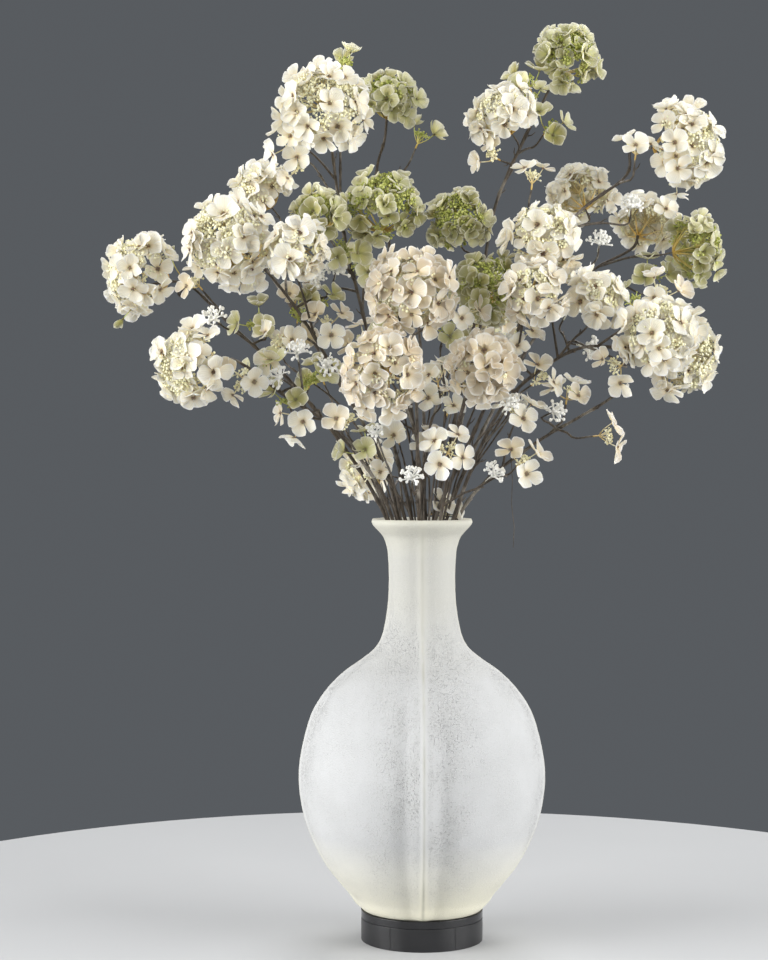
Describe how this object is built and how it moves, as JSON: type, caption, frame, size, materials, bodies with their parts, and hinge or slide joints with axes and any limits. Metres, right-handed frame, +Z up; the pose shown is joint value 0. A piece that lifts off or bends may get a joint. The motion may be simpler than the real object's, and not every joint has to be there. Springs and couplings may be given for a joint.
{
  "type": "hydrangeas in a vase",
  "caption": "Loose, wide bouquet of cream and green lacecap hydrangea sprays in a white stone-textured bottle vase with ridges, on a low round black stand.",
  "frame": {"origin": "centre of the stand's underside, on the surface it stands on", "axes": "+Z up along the vase's axis, +X to the right and -Y towards the viewer of the bouquet's front"},
  "size_m": [0.6892, 0.4313, 1.0127],
  "materials": {
    "wall": "rough stone grain",
    "lacquer": "gloss",
    "bark": "thin dark bark",
    "cream_petals": "matte",
    "green_petals": "matte",
    "blush_petals": "matte"
  },
  "bodies": {
    "root": {"stand_drum": "lacquer", "stand_plate": "lacquer", "vase": "wall", "branch_01": "bark", "branch_02": "bark", "branch_03": "bark", "branch_04": "bark", "branch_05": "bark", "branch_06": "bark", "branch_07": "bark", "branch_08": "bark", "branch_09": "bark", "branch_10": "bark", "branch_11": "bark", "branch_12": "bark", "branch_13": "bark", "branch_14": "bark", "cream_bloom_01": "cream_petals", "cream_bloom_02": "cream_petals", "cream_bloom_03": "cream_petals", "cream_bloom_04": "cream_petals", "cream_bloom_05": "cream_petals", "cream_bloom_06": "cream_petals", "cream_bloom_07": "cream_petals", "cream_bloom_08": "cream_petals", "cream_bloom_09": "cream_petals", "cream_bloom_10": "cream_petals", "cream_bloom_11": "cream_petals", "cream_bloom_12": "cream_petals", "cream_bloom_13": "cream_petals", "cream_bloom_14": "cream_petals", "cream_bloom_15": "cream_petals", "cream_bloom_16": "cream_petals", "cream_bloom_17": "cream_petals", "cream_bloom_18": "cream_petals", "cream_bloom_19": "cream_petals", "cream_bloom_20": "cream_petals", "cream_bloom_21": "cream_petals", "cream_bloom_22": "cream_petals", "green_bloom_01": "green_petals", "green_bloom_02": "green_petals", "green_bloom_03": "green_petals", "green_bloom_04": "green_petals", "green_bloom_05": "green_petals", "green_bloom_06": "green_petals", "green_bloom_07": "green_petals", "sprig_01": "blush_petals", "sprig_02": "blush_petals", "sprig_03": "blush_petals", "sprig_04": "blush_petals", "sprig_05": "blush_petals", "sprig_06": "blush_petals", "sprig_07": "blush_petals", "sprig_08": "blush_petals", "sprig_09": "blush_petals", "sprig_10": "blush_petals", "sprig_11": "green_petals", "sprig_12": "green_petals", "sprig_13": "green_petals"}
  },
  "joints": []
}
